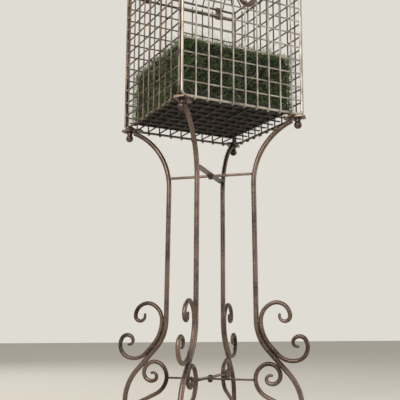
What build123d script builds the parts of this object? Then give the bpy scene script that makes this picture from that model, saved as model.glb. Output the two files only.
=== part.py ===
"""A square wire birdcage planter on a tall stand of scrolled iron legs.

Millimetres, +Z up, the origin on the ground under the middle of the stand.
The front of the cage, with the ring pull, faces -Y.
"""

from build123d import *
import math
import os

os.makedirs("parts", exist_ok=True)

# Cage
cage_floor_z = 595.0
cage_half = 132.0
cage_height = 297.0
mesh_columns = 10
mesh_rows = 11
wire = 3.0
frame_rod = 5.0
corner_bend = 9.0
touch = 0.05
running = 0.3
wire_top_gap = 4.6

# Roof
roof_lift = 18.0
roof_rise = 190.0
roof_top_half = 15.0
roof_rows = 7
hip_gap = 4.0
roof_foot = 3.0
cap_half = 20.0
cap_edge = 3.0
cap_rise = 8.0
cap_crown_half = 8.0
finial_profile = [(0, 6.0), (3, 6.0), (6, 3.5), (10, 6.5), (15, 8.0), (20, 6.5), (24, 3.2)]
top_ring_radius = 17.0
top_ring_rod = 4.0

# Stand
leg_rod = 9.5
scroll_rod = 8.0
tip_rod = 4.5
tip_length = 5.0
leg_top_inset = 11.362
leg_top_drop = 9.6
leg_top_heading = -156.0
leg_top_bend = 130.0
leg_lean_heading = -89.4
leg_straight = 261.0
leg_flare_bend = 80.0
leg_flare_heading = -47.2
leg_flare_straight = 57.0
leg_foot_bend = 88.0
flat_depth = 0.45
widest_flat = 25.0
scroll_contact = 35.0

# Corner joints between stand and cage
plate_thick = 3.0
plate_width = 24.0
plate_corner = 4.0
plate_inward = 27.4
plate_outward = 14.6
bolt_inset = 8.0
bolt_dia = 6.0
bolt_fit = 0.2
bolt_length = 21.0
bolt_head = [(0, 5.0), (1.2, 5.0), (3.0, 3.0)]
gusset_side = 30.0
washer_dia = 16.0
washer_thick = 2.4
nut_across = 11.0
nut_thick = 4.0
ball_nut_dia = 15.0

# Braces
strap_width = 12.0
strap_thick = 3.0
upper_brace_drop = 105.0
brace_bolt = 5.0
brace_bolt_stick = 5.0
brace_head = [(0, 5.0), (1.5, 5.0), (3.2, 2.5)]
brace_nut = 5.0

# Foot caps
cap_height = 20.0
cap_wall = 2.0
cap_floor = 3.0
cap_flare = 1.0

# Roof hinges
hinge_width = 14.0
boss = 5.0
web = 4.0
hinge_column = 3.5
stop_width = 34.0
stop_start = 8.4
stop_reach = 16.0
leaf_thick = 2.0
open_angle = 100.0

# Pull strap and its ring
strap_gap = 0.6
pull_width = 28.0
pull_neck_drop = 48.0
pull_top_drop = 6.0
ear_inner = 4.0
ear_outer = 12.0
ear_drop = 12.0
ring_wire = 4.1
ring_outer_radius = 18.25
ring_drop = 107.5
knuckle = 5.0
knuckle_hole = 2.6
knuckle_width = 8.0

# Planting
tray_gap = 18.0
tray_wall = 1.5
tray_depth = 14.0
moss_gap = 8.0
moss_top = 112.0
moss_round = 20.0
moss_crown = 14.0
moss_side = 18.0
soil_top = 90.0

corners = {"front_left": 225, "front_right": 315, "back_right": 45, "back_left": 135}
walls = {"front": 270, "right": 0, "back": 90, "left": 180}

octagon = 1 / math.cos(math.radians(22.5))
edge_inset = frame_rod / math.sqrt(2) + touch
column_pitch = 2 * (cage_half - edge_inset) / mesh_columns
row_pitch = cage_height / mesh_rows
plate_top = cage_floor_z - frame_rod / 2
plate_bottom = plate_top - plate_thick
bolt_radius = (cage_half - bolt_inset) * math.sqrt(2)
leg_top_radius = bolt_radius - leg_top_inset
plate_inner_radius = bolt_radius - plate_inward
plate_outer_radius = bolt_radius + plate_outward
rim_z = cage_floor_z + cage_height
roof_z = rim_z + roof_lift
lay = (frame_rod * octagon + wire) / 2 + touch


def ray(angle):
    """A level unit vector at an angle round the vertical axis."""
    return Vector(math.cos(math.radians(angle)), math.sin(math.radians(angle)), 0)


def upright(out, origin=(0, 0, cage_floor_z)):
    """An upright plane: x runs outward, y up."""
    return Plane(origin=origin, x_dir=out, z_dir=out.cross(Vector(0, 0, 1)))


def bent(start, heading, runs):
    """Points of a bent rod with its heading.

    A run is (0, length), or (radius, turn), with the radius of the bend that it
    lies along as a third value where the flats of the two have to match.
    """
    x, y = start
    stations = [(x, y, heading)]
    for radius, amount, *guide in runs:
        if radius == 0:
            x += amount * math.cos(math.radians(heading))
            y += amount * math.sin(math.radians(heading))
            stations.append((x, y, heading))
            continue
        flat_radius = guide[0] if guide else radius
        flat = min(widest_flat, 2 * math.degrees(math.acos(1 - flat_depth / flat_radius)))
        steps = math.ceil(abs(amount) / flat)
        turn = amount / steps
        chord = 2 * radius * math.sin(math.radians(abs(turn) / 2))
        for _ in range(steps):
            x += chord * math.cos(math.radians(heading + turn / 2))
            y += chord * math.sin(math.radians(heading + turn / 2))
            heading += turn
            stations.append((x, y, heading))
    return stations


def beside(station, gap):
    """The point that lies a distance to the left of a station."""
    x, y, heading = station
    return x - gap * math.sin(math.radians(heading)), y + gap * math.cos(math.radians(heading))


def section(sheet, x, y, heading):
    """The plane square to a rod at a point of its sheet."""
    along = sheet.x_dir * math.cos(math.radians(heading)) + sheet.y_dir * math.sin(math.radians(heading))
    return Plane(origin=sheet.from_local_coords(Vector(x, y, 0)), x_dir=sheet.z_dir, z_dir=along)


def flats(across, mode=Mode.ADD):
    """An eight-sided rod section with flats square to its plane's axes."""
    return RegularPolygon(across / 2, 8, major_radius=False, rotation=22.5, mode=mode)


def forged_rod(sheet, stations, rod):
    """A bent rod with eight hammered flats, mitred at every bend line."""
    x, y, _ = stations[0]
    next_x, next_y, _ = stations[1]
    heading = math.degrees(math.atan2(next_y - y, next_x - x))
    with BuildPart() as forged:
        with BuildLine():
            Polyline(*[sheet.from_local_coords(Vector(x, y, 0)) for x, y, _ in stations])
        with BuildSketch(section(sheet, x, y, heading)):
            flats(rod)
        sweep(transition=Transition.RIGHT)
    return forged.part


def rod_tip(sheet, stations):
    """The drawn-out point at the end of a scroll."""
    before_x, before_y, _ = stations[-2]
    x, y, _ = stations[-1]
    heading = math.degrees(math.atan2(y - before_y, x - before_x))
    narrowing = math.degrees(math.atan2(scroll_rod - tip_rod, 2 * tip_length))
    with BuildPart() as tip:
        with BuildSketch(section(sheet, x, y, heading)):
            flats(scroll_rod)
        extrude(amount=tip_length, taper=narrowing)
    return tip.part


def straight_rod(start, end, rod, across=(0, 0, 1)):
    """A straight rod with eight flats between two points."""
    along = Vector(*end) - Vector(*start)
    with BuildPart() as straight:
        with BuildSketch(Plane(origin=start, x_dir=Vector(*across).cross(along), z_dir=along)):
            flats(rod)
        extrude(amount=along.length)
    return straight.part


def turned(levels, sides=12):
    """A small turned piece with flats round it; levels gives (height, half width)."""
    with BuildPart() as piece:
        for (low, low_half), (high, high_half) in zip(levels, levels[1:]):
            wide_end, up = (low, 1) if low_half >= high_half else (high, -1)
            with BuildSketch(Plane(origin=(0, 0, wide_end), x_dir=(1, 0, 0), z_dir=(0, 0, up))):
                RegularPolygon(max(low_half, high_half), sides, major_radius=False, rotation=180 / sides)
            narrowing = math.degrees(math.atan2(abs(low_half - high_half), high - low))
            extrude(amount=high - low, taper=narrowing)
    return piece.part


def dozen(radius, mode=Mode.ADD):
    """A round section with twelve flats."""
    return RegularPolygon(radius, 12, major_radius=False, rotation=15, mode=mode)


def at_corners(radius):
    """Four places round the axis, one under each corner of the cage."""
    return PolarLocations(radius, 4, start_angle=45)


def write(name, builder):
    """Labels a finished piece and writes its file."""
    builder.part.label = name
    export_step(builder.part, f"parts/{name}.step")


# Legs
sheet = upright(ray(0))
leg_runs = [
    (leg_top_bend, leg_lean_heading - leg_top_heading),
    (0, leg_straight),
    (leg_flare_bend, leg_flare_heading - leg_lean_heading),
    (0, leg_flare_straight),
    (leg_foot_bend, -90 - leg_flare_heading),
]
leg_path = bent((leg_top_radius, -leg_top_drop), leg_top_heading, leg_runs)
foot_radius = leg_path[-1][0]
leg_path.append((foot_radius, cap_floor - cage_floor_z, -90))
with BuildPart() as leg_pattern:
    add(forged_rod(sheet, leg_path, leg_rod))
    split(bisect_by=Plane.XY.offset(plate_bottom), keep=Keep.BOTTOM)

# Outer scrolls: each lies along the flare of its leg and curls up at both ends
weld = (leg_rod + scroll_rod) / 2 + touch
flare_start = leg_path[len(bent((0, 0), 0, leg_runs[:2])) - 1]
hug_turn = leg_flare_heading - leg_lean_heading
outer_start = beside(flare_start, weld)
outer_lower_runs = [
    (leg_flare_bend - weld, hug_turn, leg_flare_bend),
    (0, 18),
    (37, 64),
    (25, 104),
    (13, 121),
    (8, 135),
]
outer_upper_runs = [(34, -66), (25, -113), (10, -202)]
outer_lower = bent(outer_start, leg_lean_heading, outer_lower_runs)
outer_upper = bent(outer_start, leg_lean_heading + 180, outer_upper_runs)
with BuildPart() as outer_pattern:
    add(forged_rod(sheet, outer_upper[:0:-1] + outer_lower, scroll_rod))
    add(rod_tip(sheet, outer_lower))
    add(rod_tip(sheet, outer_upper))

# Inner scrolls: each curls up under the flare, bulges in to the brace and runs out to the foot
flare_end = leg_path[len(bent((0, 0), 0, leg_runs[:3])) - 1]
contact = bent(flare_end[:2], leg_flare_heading, [(0, scroll_contact)])[-1]
inner_start = beside(contact, -weld)
inner_upper_runs = [(21.5, -36), (15.5, -120), (7.5, -187)]
bulge_runs = [(21.5, 90 - leg_flare_heading - 60), (29, 60)]
inner_lower_runs = bulge_runs + [(29, 17), (38, 47), (0, 80)]
inner_upper = bent(inner_start, leg_flare_heading, inner_upper_runs)
inner_lower = bent(inner_start, leg_flare_heading + 180, inner_lower_runs)
bulge_x, bulge_y, _ = inner_lower[len(bent((0, 0), 0, bulge_runs)) - 1]
foot_face = foot_radius - leg_rod / 2 - touch
with BuildPart() as inner_pattern:
    add(forged_rod(sheet, inner_upper[:0:-1] + inner_lower, scroll_rod))
    add(rod_tip(sheet, inner_upper))
    split(bisect_by=Plane(origin=(foot_face, 0, 0), z_dir=(1, 0, 0)), keep=Keep.BOTTOM)

stand_patterns = {"leg": leg_pattern, "outer_scroll": outer_pattern, "inner_scroll": inner_pattern}
for piece, pattern in stand_patterns.items():
    for corner, angle in corners.items():
        with BuildPart() as stand_piece:
            add(pattern.part, rotation=(0, 0, angle))
        write(f"{piece}_{corner}", stand_piece)


def leg_face(height):
    """How far from the axis the inner face of a leg lies at a height over the cage floor."""
    for (x0, y0, _), (x1, y1, _) in zip(leg_path, leg_path[1:]):
        if y1 <= height <= y0:
            slope = math.atan2(y0 - y1, x1 - x0)
            return x0 + (x1 - x0) * (y0 - height) / (y0 - y1) - leg_rod / 2 / math.sin(slope)
    raise ValueError("the leg doesn't reach this height")


# Braces: two crossed straps at the top of the stand and two between the inner scrolls
upper_face = min(leg_face(-upper_brace_drop), leg_face(-upper_brace_drop - 2 * strap_thick))
brace_levels = {
    "upper": (cage_floor_z - upper_brace_drop, upper_face - touch),
    "lower": (cage_floor_z + bulge_y + strap_thick, bulge_x - scroll_rod / 2 - touch),
}
for level, (top, reach) in brace_levels.items():
    for strap, angle, layers in (("a", 45, 1), ("b", 135, 2)):
        with BuildPart() as brace:
            with BuildSketch(Plane.XY.offset(top - layers * strap_thick)):
                Rectangle(2 * reach, strap_width, rotation=angle)
                dozen(brace_bolt / 2 + bolt_fit, Mode.SUBTRACT)
            extrude(amount=strap_thick)
        write(f"{level}_brace_strap_{strap}", brace)

brace_shank = 2 * strap_thick + brace_bolt_stick
with BuildPart() as brace_bolts:
    for top, _ in brace_levels.values():
        with Locations((0, 0, top)):
            add(turned(brace_head))
            add(turned([(-brace_shank, brace_bolt / 2), (0, brace_bolt / 2)]))
write("brace_bolts", brace_bolts)

with BuildPart() as brace_nuts:
    for top, _ in brace_levels.values():
        with BuildSketch(Plane.XY.offset(top - 2 * strap_thick)):
            RegularPolygon(brace_nut, 6)
            dozen(brace_bolt / 2 + touch, Mode.SUBTRACT)
        extrude(amount=-nut_thick)
write("brace_nuts", brace_nuts)

# Foot caps
cap_round = leg_rod / 2 * octagon + cap_wall
with BuildPart() as foot_caps:
    with at_corners(foot_radius):
        add(turned([(0, cap_round + cap_flare), (cap_height, cap_round)]))
    with BuildSketch(Plane.XY.offset(cap_floor)):
        with at_corners(foot_radius):
            flats(leg_rod + 2 * touch)
    extrude(amount=cap_height, mode=Mode.SUBTRACT)
write("foot_caps", foot_caps)

# Corner joints: plate under the cage, gusset inside it, bolt, washer and ball nut
plate_length = plate_outer_radius - plate_inner_radius
plate_middle = (plate_outer_radius + plate_inner_radius) / 2
with BuildPart() as corner_plates:
    with BuildSketch(Plane.XY.offset(plate_bottom)) as plates:
        with at_corners(plate_middle):
            Rectangle(plate_length, plate_width)
        chamfer(plates.vertices(), plate_corner)
        with at_corners(bolt_radius):
            dozen(bolt_dia / 2 + bolt_fit, Mode.SUBTRACT)
    extrude(amount=plate_thick)
write("corner_plates", corner_plates)

gusset_edge = cage_half - frame_rod / 2 - touch
gusset_span = (2 * gusset_edge - gusset_side) * math.sqrt(2)
with BuildPart() as corner_gussets:
    with BuildSketch(Plane.XY.offset(plate_top)):
        Rectangle(2 * gusset_edge, 2 * gusset_edge)
        Rectangle(gusset_span, gusset_span, rotation=45, mode=Mode.SUBTRACT)
        with at_corners(bolt_radius):
            dozen(bolt_dia / 2 + bolt_fit, Mode.SUBTRACT)
    extrude(amount=frame_rod / 2)
write("corner_gussets", corner_gussets)

with BuildPart() as corner_bolts:
    with Locations((0, 0, cage_floor_z)):
        with at_corners(bolt_radius):
            add(turned(bolt_head))
            add(turned([(-bolt_length, bolt_dia / 2), (0, bolt_dia / 2)]))
write("corner_bolts", corner_bolts)

with BuildPart() as corner_washers:
    with BuildSketch(Plane.XY.offset(plate_bottom)):
        with at_corners(bolt_radius):
            dozen(washer_dia / 2)
            dozen(bolt_dia / 2 + touch, Mode.SUBTRACT)
    extrude(amount=-washer_thick)
write("corner_washers", corner_washers)

ball = ball_nut_dia / 2
nut_top = plate_bottom - washer_thick
ball_levels = [(0, nut_across / 2), (-nut_thick, nut_across / 2)]
for turn in (60, 100, 150):
    along_ball = math.cos(math.radians(turn)) - 1
    ball_levels.append((ball * along_ball - nut_thick, ball * math.sin(math.radians(turn))))
with BuildPart() as ball_nuts:
    with Locations((0, 0, nut_top)):
        with at_corners(bolt_radius):
            add(turned(ball_levels[::-1]))
    with BuildSketch(Plane.XY.offset(cage_floor_z - bolt_length - running)):
        with at_corners(bolt_radius):
            dozen(bolt_dia / 2 + touch)
    extrude(until=Until.LAST, mode=Mode.SUBTRACT)
write("ball_nuts", ball_nuts)

# Walls: a hoop with two posts each, with wires hooked under its bottom rod and level wires inside them
edge_x = cage_half - edge_inset
post_top = cage_height + roof_lift - frame_rod / 2 - 2 * running
hook_radius = lay / math.cos(math.radians(30))
wire_top = cage_height + roof_lift - wire_top_gap
wire_columns = [(i + 1 - mesh_columns / 2) * column_pitch for i in range(mesh_columns - 1)]
bar_end = edge_x - frame_rod / 2 - touch
wall_side = upright(ray(0), (cage_half, 0, cage_floor_z))
wall_face = Plane(origin=(cage_half, 0, cage_floor_z), x_dir=(0, 1, 0), z_dir=(1, 0, 0))
hoop_top = row_pitch
hoop_runs = [
    (0, hoop_top - corner_bend),
    (corner_bend, 90),
    (0, 2 * (edge_x - corner_bend)),
    (corner_bend, 90),
    (0, hoop_top - corner_bend),
]
hook = [(ray(turn).X * hook_radius, ray(turn).Y * hook_radius, turn - 90) for turn in (0, -60, -120)]
hooked_wire = forged_rod(wall_side, [(hook_radius, wire_top, -90)] + hook, wire)
with BuildPart() as wall_pattern:
    add(forged_rod(wall_face, bent((-edge_x, hoop_top), -90, hoop_runs), frame_rod))
    with BuildSketch(Plane.XY.offset(cage_floor_z + hoop_top + touch)):
        with Locations((cage_half, -edge_x), (cage_half, edge_x)):
            flats(frame_rod)
    extrude(amount=post_top - hoop_top - touch)
    with BuildSketch(Plane(origin=(0, -bar_end, 0), x_dir=(1, 0, 0), z_dir=(0, -1, 0))):
        with Locations((cage_half, rim_z)):
            flats(frame_rod)
        for row in range(1, mesh_rows):
            with Locations((cage_half + hook_radius - wire - touch, cage_floor_z + row * row_pitch)):
                flats(wire)
    extrude(amount=-2 * bar_end)
    with Locations(*[(0, column, 0) for column in wire_columns]):
        add(hooked_wire)
for wall, angle in walls.items():
    with BuildPart() as wall_piece:
        add(wall_pattern.part, rotation=(0, 0, angle))
    write(f"{wall}_wall", wall_piece)

# Floor of the cage: one layer of wires on the front and back rods, a second layer across them
lower_layer = cage_floor_z + (frame_rod + wire) / 2 + touch
floor_reach = cage_half - touch
with BuildPart() as floor_mesh:
    with BuildSketch(Plane(origin=(0, floor_reach, 0), x_dir=(1, 0, 0), z_dir=(0, -1, 0))):
        with Locations(*[(column, lower_layer) for column in wire_columns]):
            flats(wire)
    extrude(amount=2 * floor_reach)
    with BuildSketch(Plane(origin=(-floor_reach, 0, 0), x_dir=(0, 1, 0), z_dir=(1, 0, 0))):
        with Locations(*[(column, lower_layer + wire + touch) for column in wire_columns]):
            flats(wire)
    extrude(amount=2 * floor_reach)
write("floor_mesh", floor_mesh)
tray_z = lower_layer + 1.5 * wire + 2 * touch
tray_half = cage_half - tray_gap

# Planting: tray, soil and a block of moss over it
with BuildPart() as liner_tray:
    with BuildSketch(Plane.XY.offset(tray_z)) as tray_outline:
        Rectangle(2 * tray_half, 2 * tray_half)
        chamfer(tray_outline.vertices(), corner_bend)
    extrude(amount=tray_depth)
    top_face = liner_tray.faces().sort_by(Axis.Z)[-1]
    offset(amount=-tray_wall, openings=top_face)
write("liner_tray", liner_tray)

planting_z = tray_z + tray_wall
moss_half = tray_half - moss_gap
soil_half = moss_half - moss_side
with BuildPart() as soil_block:
    with BuildSketch(Plane.XY.offset(planting_z)):
        Rectangle(2 * soil_half, 2 * soil_half)
    extrude(amount=cage_floor_z + soil_top - planting_z)
write("soil_block", soil_block)

with BuildPart() as moss_block:
    with BuildSketch(Plane.XY.offset(planting_z)) as moss_outline:
        Rectangle(2 * moss_half, 2 * moss_half)
        chamfer(moss_outline.vertices(), moss_round)
    extrude(amount=cage_floor_z + moss_top - planting_z)
    chamfer(moss_block.faces().sort_by(Axis.Z)[-1].edges(), moss_crown)
    with BuildSketch(Plane.XY.offset(planting_z)):
        Rectangle(2 * (soil_half + touch), 2 * (soil_half + touch))
    extrude(amount=cage_floor_z + soil_top + touch - planting_z, mode=Mode.SUBTRACT)
write("moss_block", moss_block)

# Roof: a rim of four rods mitred at the corners, four hips to a cap, and wires over each side
hip_run = cage_half - roof_top_half
slope = math.atan2(roof_rise, hip_run)
roof_top_z = roof_z + roof_rise
with BuildPart() as rim_side:
    rim_end = cage_half + frame_rod
    add(straight_rod((-rim_end, -cage_half, roof_z), (rim_end, -cage_half, roof_z), frame_rod))
    split(bisect_by=Plane(origin=(0, -touch, 0), z_dir=(1, 1, 0)), keep=Keep.BOTTOM)
    split(bisect_by=Plane(origin=(0, -touch, 0), z_dir=(-1, 1, 0)), keep=Keep.BOTTOM)
with BuildPart() as hip:
    hip_stretch = frame_rod / hip_run
    low = (cage_half + hip_run * hip_stretch, roof_z - roof_rise * hip_stretch)
    high = (roof_top_half - hip_run * hip_stretch, roof_top_z + roof_rise * hip_stretch)
    add(straight_rod((low[0], low[0], low[1]), (high[0], high[0], high[1]), frame_rod))
    split(bisect_by=Plane.XY.offset(roof_z + frame_rod / 2 + touch), keep=Keep.TOP)
    split(bisect_by=Plane.XY.offset(roof_top_z - touch), keep=Keep.BOTTOM)
with BuildPart() as roof_frame:
    with PolarLocations(0, 4):
        add(rim_side.part)
        add(hip.part)
write("roof_frame", roof_frame)

# The plane of the front side of the roof: x along it, y up the slope from the rim
roof_side = Plane(
    origin=(0, -cage_half, roof_z),
    x_dir=(1, 0, 0),
    z_dir=(0, -math.sin(slope), math.cos(slope)),
)
slope_length = math.hypot(hip_run, roof_rise)
with BuildPart() as roof_wires:
    for column in wire_columns:
        top_reach = min((cage_half - abs(column)) / hip_run, 1) * slope_length - hip_gap
        start = roof_side.from_local_coords(Vector(column, -roof_foot, lay))
        end = roof_side.from_local_coords(Vector(column, top_reach, lay))
        add(straight_rod(start, end, wire, (1, 0, 0)))
    for row in range(1, roof_rows + 1):
        up_slope = row * slope_length / (roof_rows + 1)
        half = cage_half - hip_run * up_slope / slope_length - hip_gap
        start = roof_side.from_local_coords(Vector(-half, up_slope, lay - wire - touch))
        end = roof_side.from_local_coords(Vector(half, up_slope, lay - wire - touch))
        add(straight_rod(start, end, wire, roof_side.z_dir))
for wall, angle in walls.items():
    with BuildPart() as roof_piece:
        add(roof_wires.part, rotation=(0, 0, angle + 90))
    write(f"roof_wires_{wall}", roof_piece)

with BuildPart() as roof_cap:
    with Locations((0, 0, roof_top_z)):
        add(turned([(0, cap_half), (cap_edge, cap_half), (cap_edge + cap_rise, cap_crown_half)], 4))
write("roof_cap", roof_cap)

finial_z = roof_top_z + cap_edge + cap_rise
with BuildPart() as finial:
    with Locations((0, 0, finial_z)):
        add(turned(finial_profile))
write("finial", finial)


ring_step = 22.5


def ring_points(middle, radius, start, quarters):
    """Points of a round bend of whole quarter turns that starts at an angle."""
    x = middle[0] + radius * math.cos(math.radians(start))
    y = middle[1] + radius * math.sin(math.radians(start))
    return bent((x, y), start + 90, [(radius, 90)] * quarters)


def closed_ring(ring_sheet, middle, radius, rod):
    """A ring of rod with a flat at its top and bottom, made of two half turns."""
    starts = (ring_step / 2, ring_step / 2 + 180)
    with BuildPart() as ring:
        add([forged_rod(ring_sheet, ring_points(middle, radius, start, 2), rod) for start in starts])
    return ring.part


flat_share = math.cos(math.radians(ring_step / 2))
finial_top = finial_z - cage_floor_z + finial_profile[-1][0]
ring_middle = finial_top + touch + top_ring_rod / 2 + top_ring_radius * flat_share
with BuildPart() as top_ring:
    add(closed_ring(upright(ray(0)), (0, ring_middle), top_ring_radius, top_ring_rod))
write("top_ring", top_ring)

# Roof hinges: each turns on the top bar of the back wall and carries the rim of the roof
leaf_near = hook_radius + wire / 2 + running
lean = open_angle - 90
for hand, side in (("left", 1), ("right", -1)):
    middle = side * hinge_column * column_pitch
    hinge_sheet = upright(ray(90), (middle, cage_half, cage_floor_z))
    with BuildPart() as hinge:
        with BuildSketch(hinge_sheet):
            with Locations((0, cage_height + roof_lift / 2)):
                Rectangle(web, roof_lift)
            with Locations((0, cage_height), (0, cage_height + roof_lift)):
                dozen(boss)
            with Locations((0, cage_height)):
                dozen(frame_rod / 2 * octagon + running, Mode.SUBTRACT)
            with Locations((0, cage_height + roof_lift)):
                flats(frame_rod + 2 * touch, Mode.SUBTRACT)
        extrude(amount=hinge_width / 2, both=True)
        axis_point = hinge_sheet.from_local_coords(Vector(0, cage_height, 0))
        leaf_out = hinge_sheet.x_dir * math.cos(math.radians(lean)) + Vector(0, 0, math.sin(math.radians(lean)))
        leaf_sheet = Plane(origin=axis_point, x_dir=leaf_out, z_dir=leaf_out.cross(hinge_sheet.z_dir) * -1)
        with BuildSketch(leaf_sheet.offset(leaf_near)):
            with Locations((stop_reach / 2, 0)):
                Rectangle(stop_reach, hinge_width)
            with Locations(((stop_start + stop_reach) / 2, 0)):
                Rectangle(stop_reach - stop_start, stop_width)
        extrude(amount=leaf_thick)
    write(f"hinge_{hand}", hinge)

# Pull strap: hung from the front of the roof's rim, with an eye for the ring at its end
rim_y = cage_height + roof_lift
ring_y = rim_y - ring_drop
eye_y = ring_y + ring_outer_radius * flat_share
strap_near = hook_radius + wire / 2 + strap_gap
ear_side = upright(ray(270), (0, -cage_half, cage_floor_z))
strap_back = Plane(origin=(0, -cage_half - strap_near, cage_floor_z), x_dir=(1, 0, 0), z_dir=(0, -1, 0))
with BuildPart() as pull_strap:
    for offset_x in (ear_inner, -ear_outer):
        with BuildSketch(ear_side.offset(offset_x)):
            with Locations((0, rim_y)):
                dozen(boss)
            with BuildLine():
                Polyline(
                    (0, rim_y + boss * octagon / 2),
                    (strap_near - touch, rim_y),
                    (strap_near - touch, rim_y - ear_drop),
                    (strap_near - leaf_thick, rim_y - ear_drop),
                    (0, rim_y - boss / 2),
                    close=True,
                )
            make_face()
            with Locations((0, rim_y)):
                dozen(frame_rod / 2 * octagon + running, Mode.SUBTRACT)
        extrude(amount=ear_outer - ear_inner)
    with BuildSketch(strap_back):
        with BuildLine():
            Polyline(
                (-pull_width / 2, rim_y - pull_top_drop),
                (pull_width / 2, rim_y - pull_top_drop),
                (pull_width / 2, rim_y - pull_neck_drop),
                (knuckle_width / 2, eye_y + 2 * knuckle),
                (knuckle_width / 2, eye_y),
                (-knuckle_width / 2, eye_y),
                (-knuckle_width / 2, eye_y + 2 * knuckle),
                (-pull_width / 2, rim_y - pull_neck_drop),
                close=True,
            )
        make_face()
    extrude(amount=leaf_thick)
    with BuildSketch(ear_side):
        with Locations((strap_near + knuckle, eye_y)):
            dozen(knuckle)
    extrude(amount=knuckle_width / 2, both=True)
    with BuildSketch(ear_side):
        with Locations((strap_near + knuckle, eye_y)):
            dozen(knuckle_hole)
    extrude(amount=knuckle_width / 2, both=True, mode=Mode.SUBTRACT)
write("pull_strap", pull_strap)

# Ring pull: two turns of wire side by side, the inner one open at the top
ring_sheet = Plane(
    origin=(0, -cage_half - strap_near - knuckle, cage_floor_z),
    x_dir=(1, 0, 0),
    z_dir=(0, -1, 0),
)
inner_turn_radius = ring_outer_radius - (ring_wire + touch) / flat_share
inner_turn_start = ring_step * 6.5
with BuildPart() as ring_pull:
    add(closed_ring(ring_sheet, (0, ring_y), ring_outer_radius, ring_wire))
    add(forged_rod(ring_sheet, ring_points((0, ring_y), inner_turn_radius, inner_turn_start, 3), ring_wire))
write("ring_pull", ring_pull)
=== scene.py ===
import math
import random

import bmesh
import bpy
from mathutils import Matrix, Vector, noise


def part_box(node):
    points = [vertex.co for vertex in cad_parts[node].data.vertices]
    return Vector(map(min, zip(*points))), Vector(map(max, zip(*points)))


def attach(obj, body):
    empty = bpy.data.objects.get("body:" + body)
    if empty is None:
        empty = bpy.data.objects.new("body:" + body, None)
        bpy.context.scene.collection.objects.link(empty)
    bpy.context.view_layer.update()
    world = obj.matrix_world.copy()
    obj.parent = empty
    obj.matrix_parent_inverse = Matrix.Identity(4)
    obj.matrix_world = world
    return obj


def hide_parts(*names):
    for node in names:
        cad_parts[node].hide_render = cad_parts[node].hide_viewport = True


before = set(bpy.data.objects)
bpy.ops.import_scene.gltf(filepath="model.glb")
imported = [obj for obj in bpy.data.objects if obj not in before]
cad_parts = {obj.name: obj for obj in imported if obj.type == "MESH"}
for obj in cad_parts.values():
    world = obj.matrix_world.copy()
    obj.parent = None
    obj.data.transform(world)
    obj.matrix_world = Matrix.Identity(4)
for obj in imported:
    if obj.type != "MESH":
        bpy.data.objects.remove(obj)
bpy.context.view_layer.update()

bl_info = {
    "name": "Birdcage planter",
    "version": (1, 0, 0),
    "blender": (4, 5, 0),
    "location": "View3D > Sidebar > Planter",
    "description": "Dresses the packed birdcage planter: forged rods, wire mesh, fasteners and moss",
    "category": "Object",
}

MM = 0.001
CORNER_TURNS = {"front_left": 225, "front_right": 315, "back_right": 45, "back_left": 135}
WALL_TURNS = {"front": 270, "right": 0, "back": 90, "left": 180}
TOUCH = 0.00005

# A leg's line in its own sheet: metres out from the axis and up from the cage's floor, and degrees
LEG_TOP = (0.164, -0.0096)
LEG_TOP_HEADING = -156.0
LEAN_HEADING = -89.4
FLARE_HEADING = -47.2
FLARE_BEND = 0.080
LEG_RUNS = [
    (0.130, LEAN_HEADING - LEG_TOP_HEADING),
    (0, 0.261),
    (FLARE_BEND, FLARE_HEADING - LEAN_HEADING),
    (0, 0.057),
    (0.088, -90 - FLARE_HEADING),
]
LEG_TO_LEAN_END = LEG_RUNS[:2]
LEG_TO_FLARE_END = LEG_RUNS[:3]
CAP_FLOOR = 0.003

# The scrolls' bends from where they lie on the leg, as (radius, turn) or (0, length)
SCROLL_CONTACT = 0.035
OUTER_FOOT_CURL = [(0, 0.018), (0.037, 64), (0.025, 104), (0.013, 121), (0.008, 140)]
OUTER_TOP_CURL = [(0.034, -66), (0.025, -113), (0.010, -208)]
INNER_TOP_CURL = [(0.0215, -36), (0.0155, -120), (0.0075, -192)]
INNER_FOOT_RUN = [(0.0215, 77.2), (0.029, 60), (0.029, 17), (0.038, 47)]
WELD_SHARE = 0.36
WELD_LUMP = 0.22
WELD_STRETCH = 1.35

# Half outlines of the fasteners, as (radius, height) from the bolt's seat
BOLT_AT = 0.124
BOLT_OUTLINE = [
    (0, 0.003),
    (0.002, 0.0028),
    (0.0036, 0.0021),
    (0.0048, 0.0009),
    (0.005, 0),
    (0.003, 0),
    (0.003, -0.021),
    (0, -0.021),
]
BRACE_BOLT_OUTLINE = [
    (0, 0.0032),
    (0.002, 0.003),
    (0.0036, 0.0022),
    (0.0048, 0.001),
    (0.005, 0),
    (0.0025, 0),
    (0.0025, -0.011),
    (0, -0.011),
]
WASHER_OUTLINE = [
    (0.0032, -0.0055),
    (0.0074, -0.0055),
    (0.008, -0.0061),
    (0.008, -0.0073),
    (0.0074, -0.0079),
    (0.0032, -0.0079),
    (0.0032, -0.0055),
]
FOOT_CAP_HALF = 0.0081
FOOT_CAP_BORE = 0.0049

# Clearances of the walls' and the roof's rods and wires
POST_GAP = 0.0006
WIRE_TOP_GAP = 0.0046
BAR_GAP = 0.0026
ROOF_LAYER_GAP = 0.0003
ROOF_WIRE_FOOT = 0.003
HIP_GAP = 0.004
HIP_FROM, HIP_TO = 0.005, 0.993

# The finial, the hanging ring and the ring pull
FINIAL_FOOT = [(0, 0), (0.006, 0), (0.0062, 0.0015), (0.006, 0.003), (0.0042, 0.0045), (0.0035, 0.006)]
FINIAL_BALL, FINIAL_BALL_MIDDLE = 0.0079, 0.0145
FINIAL_NECK = (0.0034, 0.0228)
FINIAL_TIP = 0.0032
HANGING_ROD = 0.004
PULL_WIRE = 0.0041
PULL_PRESS = 0.0001
PULL_INNER_START, PULL_INNER_SWEEP = 128, 285

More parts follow.
